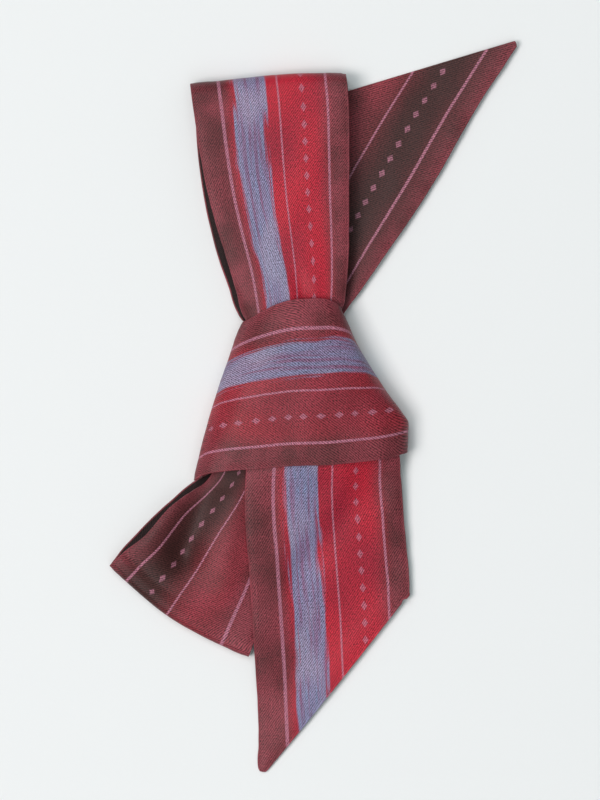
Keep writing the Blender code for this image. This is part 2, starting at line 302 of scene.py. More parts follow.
BAND_CREASES = (
    Crease(-17.0, 20.0, 2.0, 4.0, 4.5, 0.35, 0.1),
    Crease(4.0, 26.0, 15.0, 8.0, 3.5, -0.4, -0.15),
    Crease(-24.0, 4.0, -8.0, -6.0, 4.5, -0.35, -0.1),
    Crease(14.0, -2.0, 24.0, -6.0, 3.5, -0.3, -0.4),
    Crease(-12.0, 12.0, 4.0, 2.0, 5.0, -0.3, -0.1, Side.DOWN),
)
LOWER_FRONT = (
    Section(-4.4, -10.4, 7.2, -29.0, -13.4, 6.4, 0.5),
    Section(-2.4, -19.1, 7.0, -32.0, -20.3, 6.6, 0.9),
    Section(-4.6, -31.2, 6.3, -37.4, -25.4, 7.8, 1.0),
    Section(-9.4, -45.9, 5.45, -45.1, -31.4, 8.8, 0.6, bow=1.0),
    Section(-14.1, -60.0, 4.6, -53.6, -40.8, 8.4, 0.6, bow=2.2),
    Section(-17.4, -69.6, 4.0, -59.3, -45.2, 6.9, 0.6, bow=3.1),
)
LOWER_BACK = (
    Section(-17.8, -69.0, 0.0, -60.0, -44.4, 0.0, bow=3.1),
    Section(-15.0, -60.3, 0.0, -57.4, -41.6, 0.0, bow=2.2),
    Section(-10.6, -46.2, 0.0, -51.2, -35.2, 0.0, bow=1.0),
    Section(-6.9, -32.2, 0.2, -44.4, -28.9, 0.2),
    Section(-5.4, -23.8, 0.9, -37.3, -23.2, 0.8),
    Section(-4.6, -18.4, UNDER_2, -29.9, -18.2, 1.5),
    Section(-5.0, -10.3, UNDER_2, -28.2, -13.2, 1.4),
)
LOWER_CREASES = (
    Crease(-33.6, -24.8, -40.6, -46.0, 5.6, -2.6, -3.9),
    Crease(-40.6, -46.0, -43.6, -56.0, 5.6, -1.4, 0.0),
    Crease(-24.0, -30.0, -28.0, -56.0, 5.0, 0.9, 1.2),
    Crease(-43.0, -31.0, -52.0, -43.0, 2.6, 0.6, 0.5),
)
UPPER_END = (
    Section(-17.2, 21.7, TOP_2, 4.6, 22.0, 3.0),
    Section(-18.0, 26.2, TOP_2, 7.3, 26.4, 3.1),
    Section(-23.0, 31.4, 1.7, 9.9, 30.2, 3.0),
    Section(-26.0, 38.4, TOP_1, 14.8, 36.9, 3.0, -0.8, 0.6),
    Section(-28.4, 49.1, TOP_1, 23.3, 49.1, 2.9, -1.1, 0.6),
    Section(-27.6, 60.3, TOP_1, 31.9, 61.6, 2.8, -1.1, 0.6),
    Section(-23.1, 70.9, TOP_1, 39.7, 74.1, 2.8, -1.1, 0.6),
    Section(-17.5, 80.0, TOP_1, 46.7, 86.6, 2.8, -1.1, 0.6),
    Section(-12.7, 87.8, TOP_1, 54.2, 99.2, 2.8, -1.1, 0.6),
    Section(-11.2, 90.2, TOP_1, 58.3, 105.2, 2.8, -1.1, 0.6),
    Section(-9.9, 91.4, TOP_1, 62.6, 111.8, 2.8, -1.1, 0.6, bow=0.1),
    Section(-9.6, 91.8, TOP_1, 63.2, 112.6, 2.8, -1.1, 0.6, bow=0.1),
    Section(-9.2, 92.4, TOP_1, 62.9, 114.0, 2.8, -1.1, 0.6, bow=0.1),
)
UPPER_END_CREASES = (
    Crease(20.0, 52.0, 36.0, 88.0, 5.0, 0.3, 0.15),
    Crease(14.0, 42.0, 26.0, 70.0, 3.0, 0.25, 0.1),
)

# Waves: height, across, along, phase
SLOW_WAVES = (
    Wave(0.07, 31.0, 47.0, 0.6),
    Wave(0.05, 19.0, 26.0, 2.1),
    Wave(0.035, 11.0, 17.0, 4.4),
)
EDGE_WAVES = (
    Wave(0.10, 90.0, 13.0, 1.3),
    Wave(0.07, 70.0, 8.5, 3.0),
    Wave(0.05, 50.0, 5.3, 5.1),
)


def unit(vectors: Array) -> Array:
    """The vectors, each 1 long."""
    return vectors / np.linalg.norm(vectors, axis=-1, keepdims=True)


def folded(
    front: tuple[Section, ...], fold: Fold, back: tuple[Section, ...]
) -> tuple[Section, ...]:
    """A front layer and a back layer, joined by sections round a soft fold.

    Args:
        front: Sections of the front layer, which ends at the fold.
        fold: The fold.
        back: Sections of the back layer, which starts at the fold.

    Returns:
        All the sections.
    """
    a_edge, b_edge = np.array((fold.ax, fold.ay)), np.array((fold.bx, fold.by))
    heights = ((a_edge, fold.a_top, fold.a_under), (b_edge, fold.b_top, fold.b_under))
    sections = []
    for angle in np.linspace(math.pi / 2, -math.pi / 2, FOLD_RINGS + 1):
        near = front[-1] if angle > 0 else back[0]
        ends: list[float] = []
        for (edge, top, under), neighbour in zip(heights, (near[0:2], near[3:5])):
            radius = (top - under) / 2
            place = edge + unit(np.array(neighbour) - edge) * radius * (1 - math.cos(angle))
            ends += [place[0], place[1], under + radius * (1 + math.sin(angle))]
        sections.append(Section(*ends, peak=fold.peak, bow=fold.bow))
    return front + tuple(sections) + back


def smooth_rows(sections: tuple[Section, ...], closed: bool) -> Array:
    """Rows of section values on a smooth curve through the sections.

    Args:
        sections: The table.
        closed: Whether the last section leads back to the first.

    Returns:
        One row of section values for each line across the strip.
    """
    table = np.array(sections, dtype=float)
    if closed:
        table = np.vstack([table[-1:], table, table[:2]])
    else:
        table = np.vstack([2 * table[0] - table[1], table, 2 * table[-1] - table[-2]])
    middles = (table[:, 0:3] + table[:, 3:6]) / 2
    spans = np.linalg.norm(np.diff(middles, axis=0), axis=1)[:, None]
    slopes = np.diff(table, axis=0) / spans
    tangents = (slopes[:-1] * spans[1:] + slopes[1:] * spans[:-1]) / (spans[:-1] + spans[1:])
    rows = []
    for k in range(len(sections) - (0 if closed else 1)):
        start, end, span = table[k + 1], table[k + 2], spans[k + 1]
        edges = (np.linalg.norm(end[0:3] - start[0:3]), np.linalg.norm(end[3:6] - start[3:6]))
        steps = max(1, math.ceil(max(edges) / ROW_STEP))
        for t in np.arange(steps) / steps:
            rows.append(
                start * (2 * t**3 - 3 * t**2 + 1)
                + tangents[k] * span * (t**3 - 2 * t**2 + t)
                + end * (3 * t**2 - 2 * t**3)
                + tangents[k + 1] * span * (t**3 - t**2)
            )
    if not closed:
        rows.append(table[-2])
    return np.array(rows)


def soft_corner(across: Array, peak: Array) -> Array:
    """An arch with two near-straight sides that meet in a soft corner.

    Args:
        across: Places from 0 at one end to 1 at the other.
        peak: Where the corner is.

    Returns:
        The arch's height, from 0 to 1.
    """
    rise = (across / peak) ** CORNER_RISE
    fall = ((1 - across) / (1 - peak)) ** CORNER_FALL
    return -np.log(np.exp(-CORNER * rise) + np.exp(-CORNER * fall)) / CORNER


def slope_along(points: Array, closed: bool) -> Array:
    """The direction of the strip at each point, from row to row.

    Args:
        points: The face's points.
        closed: Whether the last row leads back to the first.

    Returns:
        The directions.
    """
    if closed:
        return np.roll(points, -1, axis=0) - np.roll(points, 1, axis=0)
    return np.gradient(points, axis=0)


def face_normals(points: Array, closed: bool) -> Array:
    """The direction out of the outer face at each of its points."""
    return unit(np.cross(np.gradient(points, axis=1), slope_along(points, closed)))


def flat_places(points: Array, start: float, closed: bool) -> Array:
    """Where each point lies on the flat strip.

    Args:
        points: The face's points.
        start: v at the middle of the first row.
        closed: Whether the last row leads back to the first.

    Returns:
        (u, v) in mm for each point.
    """
    steps = np.linalg.norm(np.diff(points, axis=1), axis=-1)
    walked = np.concatenate([np.zeros((len(points), 1)), np.cumsum(steps, axis=1)], axis=1)
    across = walked / walked[:, -1:] - 0.5
    middles = points[:, points.shape[1] // 2]
    strides = np.linalg.norm(np.diff(middles, axis=0), axis=1)
    along = start + np.concatenate([[0.0], np.cumsum(strides)])
    slopes = unit(slope_along(middles, closed))
    lead = np.einsum("ij,ij->i", points[:, -1] - points[:, 0], slopes)
    return np.stack([across * STRIP_WIDTH, along[:, None] + across * lead[:, None]], axis=-1)


def new_object(name: str, data: ID) -> Object:
    """Puts a mesh, a light or a camera in the scene, at the origin.

    Args:
        name: The object's name.
        data: The mesh, light or camera.

    Returns:
        The object.
    """
    made = bpy.data.objects.new(name, data)
    bpy.context.scene.collection.objects.link(made)
    return made


class Tree:
    """A node tree, with short calls for its nodes and links."""

    def __init__(self, tree: NodeTree) -> None:
        """Takes the tree that the nodes go into."""
        self.tree = tree

    def put(self, socket: Socket, value: object) -> None:
        """Links a socket to an input, or sets the input's value.

        Args:
            socket: The input.
            value: The other socket, or the value.
        """
        if isinstance(value, Socket):
            self.tree.links.new(value, socket)
        else:
            socket.default_value = value

    def node(self, kind: str, inputs: Inputs, **settings: object) -> Node:
        """Adds a node.

        Args:
            kind: Blender's name for it.
            inputs: What goes into its inputs.
            settings: Its other settings.

        Returns:
            The node.
        """
        made = self.tree.nodes.new(kind)
        for key, value in settings.items():
            setattr(made, key, value)
        for key, value in inputs.items():
            self.put(made.inputs[key], value)
        return made

    def flow(self, kind: str, inputs: Inputs, out: str | int = 0, **settings: object) -> Socket:
        """The output, by name or number, of a new node."""
        return self.node(kind, inputs, **settings).outputs[out]

    def math(self, operation: str, *values: object) -> Socket:
        """The result of a Math node."""
        return self.flow("ShaderNodeMath", dict(enumerate(values)), operation=operation)

    def times(self, value: object, factor: object, *plus: object) -> Socket:
        """The value times the factor, plus a third value where one is given."""
        return self.math("MULTIPLY_ADD" if plus else "MULTIPLY", value, factor, *plus)


class ShapeTree(Tree):
    """A Geometry Nodes tree that makes a piece from a mesh and a few named sizes."""

    def __init__(self, name: str, sizes: dict[str, float | int]) -> None:
        """Starts the tree.

        Args:
            name: Its name.
            sizes: The sizes, which become its named inputs.
        """
        super().__init__(bpy.data.node_groups.new(name, "GeometryNodeTree"))
        self.sizes = sizes
        kinds = {key: "Int" if isinstance(size, int) else "Float" for key, size in sizes.items()}
        for key, kind in {"Mesh": "Geometry", **kinds}.items():
            self.tree.interface.new_socket(key, in_out="INPUT", socket_type=f"NodeSocket{kind}")
        self.tree.interface.new_socket("Piece", in_out="OUTPUT", socket_type="NodeSocketGeometry")
        self.given = self.node("NodeGroupInput", {}).outputs

    def piece(self, name: str, mesh: Mesh, shape: Socket, finish: Material) -> Object:
        """Ends the tree and runs it.

        Args:
            name: The piece's name.
            mesh: What goes in.
            shape: The finished shape in the tree.
            finish: The piece's material.

        Returns:
            The piece, a plain mesh.
        """
        whole = self.flow("GeometryNodeRealizeInstances", {0: shape})
        dressed = self.flow("GeometryNodeSetMaterial", {"Geometry": whole, "Material": finish})
        self.node("NodeGroupOutput", {0: dressed})
        source = new_object(f"{name}_source", mesh)
        modifier = source.modifiers.new(self.tree.name, "NODES")
        modifier.node_group = self.tree
        for item in self.tree.interface.items_tree:
            if item.name in self.sizes:
                modifier[item.identifier] = self.sizes[item.name]
        graph = bpy.context.evaluated_depsgraph_get()
        made = bpy.data.meshes.new_from_object(source.evaluated_get(graph))
        made.name = name
        bpy.data.objects.remove(source)
        made.materials.clear()
        made.materials.append(finish)
        return new_object(name, made)


class Graph(Tree):
    """A material's node tree, with short calls for the nodes that the finishes use."""

    LINE_SOFTNESS: ClassVar[float] = 0.12  # mm on both sides of a line's edge

    def __init__(self, name: str) -> None:
        """Starts a material with a Principled surface.

        Args:
            name: The material's name.
        """
        self.material = bpy.data.materials.new(name)
        self.material.use_nodes = True
        super().__init__(self.material.node_tree)
        self.shader = self.tree.nodes["Principled BSDF"]

    def soft_step(self, value: Socket, low: float, high: float) -> Socket:
        """Rises smoothly from 0 at low to 1 at high; low may be the greater of the two.

        Args:
            value: What is read.
            low: Where the result is 0.
            high: Where the result is 1.

        Returns:
            The result's socket.
        """
        ends = (high, low, 1.0, 0.0) if low > high else (low, high, 0.0, 1.0)
        inputs = dict(zip(("From Min", "From Max", "To Min", "To Max"), ends), Value=value)
        return self.flow("ShaderNodeMapRange", inputs, "Result", interpolation_type="SMOOTHSTEP")

    def away(self, value: object, centre: float) -> Socket:
        """How far the value is from the centre."""
        return self.math("ABSOLUTE", self.math("SUBTRACT", value, centre))

    def stray(self, value: Socket, noise: Socket, reach: float) -> Socket:
        """The value, moved up or down by the noise, by half the reach at most."""
        return self.times(self.math("SUBTRACT", noise, 0.5), reach, value)

    def line(self, value: Socket, centre: float, width: float) -> Socket:
        """1 on a narrow line at the centre, 0 away from it, with a slightly soft edge."""
        ends = width / 2 + self.LINE_SOFTNESS, width / 2 - self.LINE_SOFTNESS
        return self.soft_step(self.away(value, centre), *ends)

    def mix(self, factor: object, low: object, high: object, blend: str = "MIX") -> Socket:
        """A mix of two colours.

        Args:
            factor: How much of the second.
            low: The first colour.
            high: The second colour.
            blend: Blender's name for the kind of mix.

        Returns:
            The mixed colour's socket.
        """
        inputs = {"Factor": factor, "A": low, "B": high}
        return self.flow("ShaderNodeMix", inputs, "Result", data_type="RGBA", blend_type=blend)

    def noise(self, place: Socket, scale: float, detail: float = 2.0) -> Socket:
        """Noise at a place, from 0 to 1."""
        inputs = {"Vector": place, "Scale": scale, "Detail": detail}
        return self.flow("ShaderNodeTexNoise", inputs, "Fac", noise_dimensions="3D")

    def point(self, x: object, y: object, z: object = 0.0) -> Socket:
        """A vector from three values."""
        return self.flow("ShaderNodeCombineXYZ", {0: x, 1: y, 2: z})

    def object_place(self) -> Socket:
        """The place on the object, in metres."""
        return self.flow("ShaderNodeTexCoord", {}, "Object")

    def bump(self, height: Socket, strength: float) -> Socket:
        """The surface's direction where a height, from 0 to 1, makes fine bumps in it."""
        inputs = {"Strength": strength, "Distance": BUMP_DEPTH * MM, "Height": height}
        return self.flow("ShaderNodeBump", inputs)

    def dress(self, colour: object, tone: Socket, values: Inputs) -> Material:
        """Gives the surface its colour and its other values.

        Args:
            colour: The colour.
            tone: What the colour is multiplied by.
            values: What goes into the surface's other inputs.

        Returns:
            The finished material.
        """
        shade = self.mix(1.0, colour, self.point(tone, tone, tone), "MULTIPLY")
        for key, value in {"Base Color": shade, **values}.items():
            self.put(self.shader.inputs[key], value)
        return self.material


class StripGraph(Graph):
    """The graph of a cloth's material, which knows the place (u, v) on the flat strip, in mm."""

    def __init__(self, name: str) -> None:
        """Starts the material with its place.

        Args:
            name: The material's name.
        """
        super().__init__(name)
        uv = self.flow("ShaderNodeUVMap", {}, "UV", uv_map="cloth")
        parts = self.node("ShaderNodeSeparateXYZ", {0: uv}).outputs
        self.u, self.v = self.times(parts["X"], 1 / MM), self.times(parts["Y"], 1 / MM)

    def mottle(self, kind: Mottle) -> Socket:
        """Noise on the flat strip, from 0 to 1."""
        place = self.point(self.times(self.u, kind.across), self.times(self.v, kind.along))
        return self.noise(place, kind.scale, kind.detail)


class Dye:
    """The colours of the print; the umber and the near-black reverse are also used as painted
    shade.
    """

    MAROON: Colour = (0.226, 0.039, 0.053, 1.0)
    # dark brown print, also used as painted shade in the lower loop's trough
    UMBER_AND_SHADE: Colour = (0.048, 0.015, 0.014, 1.0)
    CRIMSON: Colour = (0.450, 0.018, 0.036, 1.0)
    WINE: Colour = (0.300, 0.016, 0.034, 1.0)
    SLATE: Colour = (0.155, 0.235, 0.390, 1.0)
    DUSK: Colour = (0.150, 0.125, 0.235, 1.0)
    HAZE: Colour = (0.250, 0.290, 0.430, 1.0)
    ROSE: Colour = (0.430, 0.160, 0.230, 1.0)
    # near-black reverse: the silk's dark side, darkened further as painted shade in the loops'
    # hollows
    REVERSE_AND_SHADE: tuple[Colour, Colour] = ((0.012, 0.007, 0.007, 1.0), (0.026, 0.012, 0.012, 1.0))
    SHEEN: Colour = (1.0, 0.80, 0.82, 1.0)


class Print:
    """The sizes of the print, in mm on the flat strip, and its unevenness."""

    BLEED: Mottle = Mottle(0.045, across=0.35)  # the wander of the stripes' edges
    BLEED_REACH: float = 5.0
    CLOUD: Mottle = Mottle(0.07)  # the ground's darker patches
    CLOUD_SPAN: Span = (0.30, 0.75)
    CLOUD_SHARE: float = 0.7
    RED_LEFT: Span = (-17.0, -10.5)
    RED_RIGHT: Span = (21.0, 13.5)
    DEPTH: Mottle = Mottle(0.028, 1.0, across=1.4)  # the deeper parts of the crimson
    DEPTH_SPAN: Span = (0.38, 0.64)
    DARK_SPAN: Span = (17.0, 2.0)  # from the middle of the dark brown, which is print and painted shade
    DARK_REACH: float = 9.0
    SLATE_MIDDLE: float = -7.2
    SLATE_SPAN: Span = (5.9, 4.3)  # from its middle
    SLATE_REACH: float = 6.0
    STREAK: Mottle = Mottle(0.85, 3.0, along=0.045)  # the slate's broad streaks
    STREAK_SPAN: Span = (0.44, 0.64)
    HAIR: Mottle = Mottle(2.6, along=0.06)  # its thin streaks, where the ground shows
    HAIR_SPAN: Span = (0.78, 0.42)
    HAIR_SHIFT: float = 0.28  # how far a full slate moves that span
    HAIR_SHARE: float = 0.22
    PATCH: Mottle = Mottle(0.085, 1.0, along=0.6)  # its lighter patches
    PATCH_SPAN: Span = (0.44, 0.66)
    PATCH_SHARE: float = 0.85
    PIN_LINES: tuple[Span, ...] = ((-16.2, 1.1), (2.6, 0.6), (18.4, 0.8))  # u, and width
    LOZENGE_ROW: float = 10.4
    LOZENGE_PITCH: float = 5.4
    LOZENGE_SLIMNESS: float = 1.5
    LOZENGE_SPAN: Span = (1.65, 1.30)  # from the lozenge's middle
    LOZENGE_SHARE: float = 0.75
    MARK_SHARE: float = 0.72
    # the slow change of the dark reverse and its painted shade
    REVERSE_AND_SHADE: Mottle = Mottle(0.04)


class Twill:
    """The sizes of the weave, in mm, and how strongly its parts show."""

    RIB_PITCH: float = 0.64
    RIB_SWING: float = 0.52
    RIB_LEVEL: float = 0.42
    YARN_PITCH: float = 0.36
    YARN_SWING: float = 0.06
    DRIFT: Mottle = Mottle(0.45)  # the ribs' wander
    DRIFT_TURN: float = 2.4  # in radians
    FUZZ: Mottle = Mottle(1.9)
    FUZZ_REACH: float = 3.0
    CONTRAST: float = 0.95
    BUMP: float = 0.35


@dataclass(frozen=True)
class SilkTwill:
    """Printed silk twill: soft lengthwise stripes, pin lines and small lozenges over fine ribs."""

    name: str
    rib_degrees: float  # the ribs' lean, clockwise from the strip's length
    inks: Inks = Inks()
    lift: float = 1.0  # painted highlight: how much lighter than the print, as on a turned edge
    relief: float = 1.0  # how strongly the ribs show

    SPECULAR: ClassVar[float] = 0.20
    SHEEN: ClassVar[float] = 0.03

    def weave(self, graph: StripGraph) -> Socket:
        """The height of the twill, from 0 to about 1.

        Args:
            graph: The node tree.

        Returns:
            The height's socket.
        """
        lean = math.radians(self.rib_degrees)
        drift = graph.times(graph.mottle(Twill.DRIFT), Twill.DRIFT_TURN)
        along = graph.times(graph.v, math.sin(lean))
        across = graph.math("SUBTRACT", graph.times(graph.u, math.cos(lean)), along)
        turns = graph.times(across, math.tau / Twill.RIB_PITCH)
        wave = graph.math("SINE", graph.math("ADD", turns, drift))
        rib = graph.times(wave, Twill.RIB_SWING, Twill.RIB_LEVEL)
        yarn = graph.math("SINE", graph.times(graph.u, math.tau / Twill.YARN_PITCH))
        height = graph.times(yarn, Twill.YARN_SWING, rib)
        return graph.stray(height, graph.mottle(Twill.FUZZ), Twill.FUZZ_REACH)

    def slate_stripe(self, graph: StripGraph, colour: Socket, uneven: Socket) -> Socket:
        """Lays the streaky slate stripe over the print.

        Args:
            graph: The node tree.
            colour: The print under it.
            uneven: u, a little uneven.

        Returns:
            The colour's socket.
        """
        streak = graph.mottle(Print.STREAK)
        hair = graph.mottle(Print.HAIR)
        edge = graph.stray(graph.away(uneven, Print.SLATE_MIDDLE), streak, Print.SLATE_REACH)
        cover = graph.times(graph.soft_step(edge, *Print.SLATE_SPAN), self.inks.slate)
        shift = Print.HAIR_SHIFT * self.inks.slate
        thin = graph.soft_step(hair, *(end - shift for end in Print.HAIR_SPAN))
        whole = graph.times(thin, Print.HAIR_SHARE, 1 - Print.HAIR_SHARE)
        tone = graph.mix(graph.soft_step(streak, *Print.STREAK_SPAN), Dye.SLATE, Dye.DUSK)
        patch = graph.soft_step(graph.mottle(Print.PATCH), *Print.PATCH_SPAN)
        tone = graph.mix(graph.times(patch, Print.PATCH_SHARE), tone, Dye.HAZE)
        return graph.mix(graph.times(cover, whole), colour, tone)

    def marks(self, graph: StripGraph) -> Socket:
        """How much of the rose lines and lozenges covers each place.

        Args:
            graph: The node tree.

        Returns:
            The share's socket.
        """
        marks: object = 0.0
        for centre, width in Print.PIN_LINES:
            marks = graph.math("ADD", marks, graph.line(graph.u, centre, width))
        beat = graph.math("PINGPONG", graph.v, Print.LOZENGE_PITCH)
        along = graph.away(beat, Print.LOZENGE_PITCH / 2)
        across = graph.away(graph.u, Print.LOZENGE_ROW)
        off = graph.times(across, Print.LOZENGE_SLIMNESS, along)
        lozenge = graph.soft_step(off, *Print.LOZENGE_SPAN)
        marks = graph.times(lozenge, Print.LOZENGE_SHARE, marks)
        return graph.times(graph.math("MINIMUM", marks, 1.0), Print.MARK_SHARE)

    def print_colour(self, graph: StripGraph) -> Socket:
        """The print: a slate and a wide crimson stripe on maroon, with lines and lozenges, and a
        dark brown band that in places is painted shade.

        Args:
            graph: The node tree.

        Returns:
            The colour's socket.
        """
        uneven = graph.stray(graph.u, graph.mottle(Print.BLEED), Print.BLEED_REACH)
        depth = graph.mottle(Print.DEPTH)
        cloud = graph.mottle(Print.CLOUD)

        ground = graph.mix(graph.soft_step(cloud, *Print.CLOUD_SPAN), Dye.MAROON, Dye.UMBER_AND_SHADE)
        ground = graph.mix(Print.CLOUD_SHARE, Dye.MAROON, ground)
        # the dark brown band: print on the upper end, and painted shade along the lower loop's
        # trough
        off = graph.stray(graph.away(uneven, self.inks.dark_middle), cloud, Print.DARK_REACH)
        umber_and_shade = graph.times(graph.soft_step(off, *Print.DARK_SPAN), self.inks.dark)
        red = graph.mix(graph.soft_step(depth, *Print.DEPTH_SPAN), Dye.CRIMSON, Dye.WINE)
        left, right = (graph.soft_step(uneven, *span) for span in (Print.RED_LEFT, Print.RED_RIGHT))
        reach = graph.times(graph.times(left, right), self.inks.red)
        colour = graph.mix(reach, ground, red)
        colour = graph.mix(umber_and_shade, colour, Dye.UMBER_AND_SHADE)
        colour = self.slate_stripe(graph, colour, uneven)
        return graph.mix(self.marks(graph), colour, Dye.ROSE)

    def material(self) -> Material:
        """The finished material.

        Returns:
            The material.
        """
        graph = StripGraph(self.name)
        weave = self.weave(graph)
        contrast = Twill.CONTRAST * self.lift * self.relief
        rib = graph.math("SUBTRACT", weave, Twill.RIB_LEVEL)
        values = {
            "Normal": graph.bump(weave, Twill.BUMP * self.relief),
            "Roughness": 0.45,
            "Specular IOR Level": self.SPECULAR,
            "Sheen Weight": self.SHEEN,
            "Sheen Roughness": 0.35,
            "Sheen Tint": Dye.SHEEN,
        }
        # a lift above 1 paints the whole colour lighter, a painted highlight on the turned edge
        tone = graph.times(rib, contrast, self.lift)
        return graph.dress(self.print_colour(graph), tone, values)


@dataclass(frozen=True)
class SilkReverseAndShade(SilkTwill):
    """The plain dark side of the silk, which the loops show inside, painted near black as shade in
    their hollows.
    """

    SPECULAR: ClassVar[float] = 0.08
    SHEEN: ClassVar[float] = 0.0

    def print_colour(self, graph: StripGraph) -> Socket:
        """A near-black ground that varies slowly: the dark silk and painted shade together."""
        return graph.mix(graph.mottle(Print.REVERSE_AND_SHADE), *Dye.REVERSE_AND_SHADE)


@dataclass(frozen=True)
class CoreSilk:
    """The plain maroon silk of the hidden layers, with fine ribs."""

    name: str = "knot_core_silk"
    colour: Colour = (0.120, 0.034, 0.040, 1.0)
    rib_pitch: float = 0.69  # in mm
    contrast: float = 0.30
    darkest: float = 0.80

    def material(self) -> Material:
        """The finished material.

        Returns:
            The material.
        """
        graph = Graph(self.name)
        parts = graph.node("ShaderNodeSeparateXYZ", {0: graph.object_place()}).outputs
        lean = graph.math("ADD", parts["X"], parts["Y"])
        turns = graph.times(lean, math.tau / (self.rib_pitch * math.sqrt(2) * MM))
        rib = graph.times(graph.math("SINE", turns), 0.5, 0.5)
        tone = graph.times(rib, self.contrast, self.darkest)
        values = {"Normal": graph.bump(rib, 0.3), "Roughness": 0.5}
        return graph.dress(self.colour, tone, values)


@dataclass(frozen=True)
class PalePaper:
    """The matt pale sheet that the scarf lies on, with a faint tooth."""

    name: str = "pale_paper"
    colour: Colour = (0.840, 0.843, 0.846, 1.0)
    tooth: float = 900.0  # cells to the metre
    contrast: float = 0.012
    darkest: float = 0.994

    def material(self) -> Material:
        """The finished material.

        Returns:
            The material.
        """
        graph = Graph(self.name)
        tooth = graph.noise(graph.object_place(), self.tooth)
        tone = graph.times(tooth, self.contrast, self.darkest)
        return graph.dress(self.colour, tone, {"Roughness": 0.9, "Specular IOR Level": 0.1})


@dataclass(frozen=True)
class TurnedEdge:
    """The round edge where the strip's two layers turn into each other, swept along a path."""

    radius: float = ROLL_RADIUS
    step: float = 0.8  # in mm
    sides: int = 8

    def path(self, name: str, paths: list[Cloth], rings: bool) -> Mesh:
        """The paths as lines that know their places on the flat strip.

        Args:
            name: The mesh's name.
            paths: Points and places along each path.
            rings: Whether each path leads back to its start.

        Returns:
            The lines.
        """
        points = np.vstack([path.points for path in paths]) * MM
        places = np.vstack([path.places for path in paths]) * MM
        edges: list[tuple[int, int]] = []
        first = 0
        for path in paths:
            count = len(path.points)
            last = count if rings else count - 1
            edges += [(first + k, first + (k + 1) % count) for k in range(last)]
            first += count
        mesh = bpy.data.meshes.new(name)
        mesh.from_pydata(points.tolist(), edges, [])
        kept = mesh.attributes.new("place", "FLOAT_VECTOR", "POINT")
        kept.data.foreach_set("vector", np.column_stack([places, np.zeros(len(places))]).ravel())
        return mesh

    def build(self, name: str, paths: list[Cloth], rings: bool, finish: Material) -> Object:
        """Sweeps a round profile along the paths, in Geometry Nodes.

        Args:
            name: The piece's name.
            paths: Points and places along each path.
            rings: Whether each path leads back to its start.
            finish: The edge's material.

        Returns:
            The finished piece, a plain mesh.
        """
        sizes = {"Radius": self.radius * MM, "Step": self.step * MM, "Sides": self.sides}
        tree = ShapeTree("turned_edge", sizes)
        given = tree.given
        shape = tree.flow("GeometryNodeMeshToCurve", {0: given["Mesh"]})
        inputs = {"Curve": shape, "Length": given["Step"]}
        shape = tree.flow("GeometryNodeResampleCurve", inputs, mode="LENGTH")
        inputs = {"Radius": given["Radius"], "Resolution": given["Sides"]}
        ring = tree.flow("GeometryNodeCurvePrimitiveCircle", inputs, "Curve")
        inputs = {"Curve": shape, "Profile Curve": ring, "Fill Caps": True}
        shape = tree.flow("GeometryNodeCurveToMesh", inputs)
        place = tree.flow(
            "GeometryNodeInputNamedAttribute",
            {"Name": "place"},
            "Attribute",
            data_type="FLOAT_VECTOR",
        )
        shape = tree.flow(
            "GeometryNodeStoreNamedAttribute",
            {"Geometry": shape, "Name": "cloth", "Value": place},
            data_type="FLOAT2",
            domain="CORNER",
        )
        shape = tree.flow("GeometryNodeSetShadeSmooth", {0: shape})
        return tree.piece(name, self.path(f"{name}_path", paths, rings), shape, finish)


